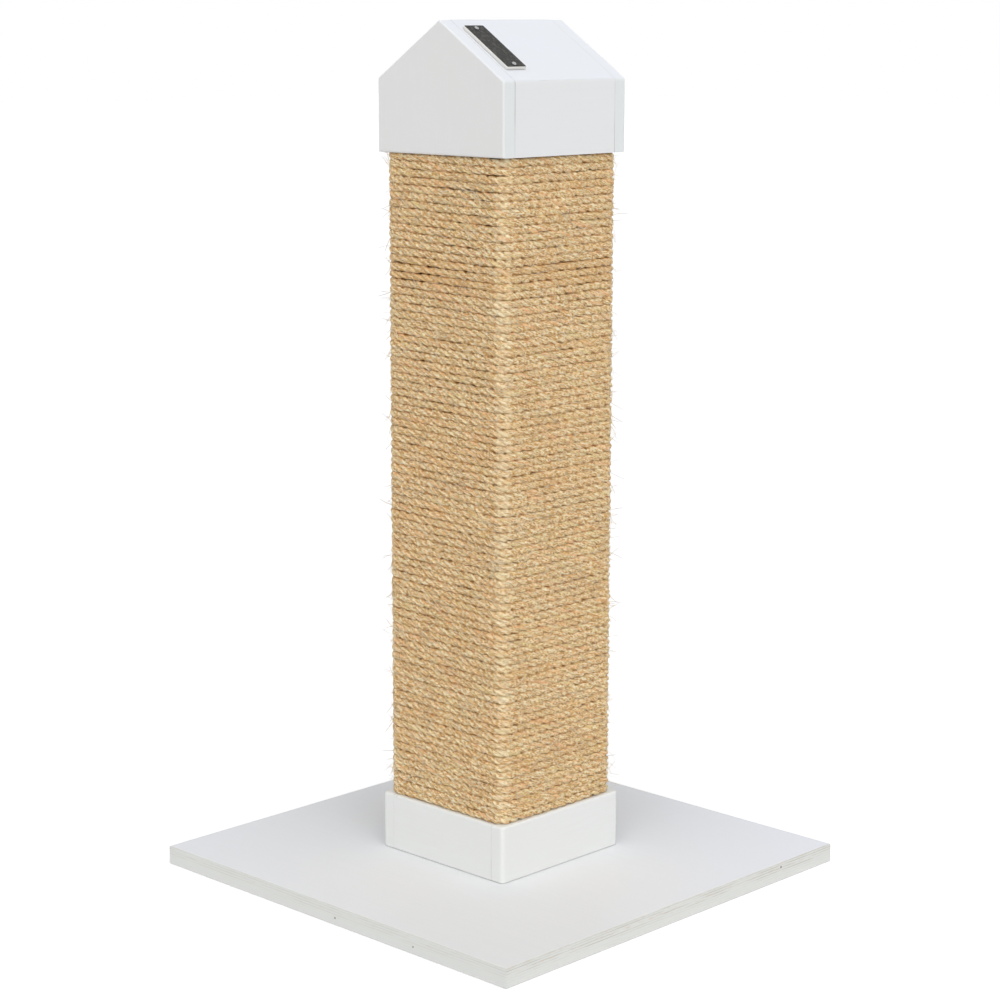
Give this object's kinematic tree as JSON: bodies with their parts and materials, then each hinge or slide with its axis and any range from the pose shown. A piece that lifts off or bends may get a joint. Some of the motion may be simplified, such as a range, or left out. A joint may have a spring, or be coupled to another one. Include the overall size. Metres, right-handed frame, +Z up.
{
  "type": "cat scratching post",
  "caption": "Square cat scratching post wound with sisal rope, on a flat square base, with a foot collar and a house-shaped cap.",
  "frame": {"origin": "middle of the base plate's underside", "axes": "+Z up; the cap's gables face -Y and +Y, and the slope with the metal plate faces +X"},
  "size_m": [0.38, 0.38, 0.6734],
  "materials": {
    "base_paint": "white stained plywood, matt, with bare plies on its edges",
    "board_paint": "white paint, satin, with faint brush and grain marks",
    "raw_wood": "unpainted softwood",
    "sisal": "natural three-strand sisal, rough and matt",
    "zinc_steel": "bright zinc plate",
    "insert_brass": "plain machined",
    "dark_metal": "dark gunmetal, satin, with bright worn edges",
    "bright_steel": "polished nickel"
  },
  "bodies": {
    "root": {"base_plate": "base_paint", "base_bolt_1": "zinc_steel", "base_bolt_2": "zinc_steel", "base_bolt_3": "zinc_steel", "base_bolt_4": "zinc_steel", "bolt_washer_1": "zinc_steel", "bolt_washer_2": "zinc_steel", "bolt_washer_3": "zinc_steel", "bolt_washer_4": "zinc_steel", "threaded_insert_1": "insert_brass", "threaded_insert_2": "insert_brass", "threaded_insert_3": "insert_brass", "threaded_insert_4": "insert_brass", "foot_block": "raw_wood", "head_block": "raw_wood", "core_board_right": "raw_wood", "core_board_left": "raw_wood", "core_board_front": "raw_wood", "core_board_back": "raw_wood", "collar_board_right": "board_paint", "collar_board_left": "board_paint", "collar_board_front": "board_paint", "collar_board_back": "board_paint", "sisal_rope_1": "sisal", "sisal_rope_2": "sisal", "sisal_rope_3": "sisal", "sisal_rope_4": "sisal", "gable_board_front": "board_paint", "gable_board_back": "board_paint", "cap_side_board_right": "board_paint", "cap_side_board_left": "board_paint", "roof_board_right": "board_paint", "roof_board_left": "board_paint", "cap_plate": "raw_wood", "cap_screw_1": "zinc_steel", "cap_screw_2": "zinc_steel", "cap_screw_3": "zinc_steel", "cap_screw_4": "zinc_steel", "label_plate": "dark_metal", "label_screw_1": "bright_steel", "label_screw_2": "bright_steel"}
  },
  "joints": []
}
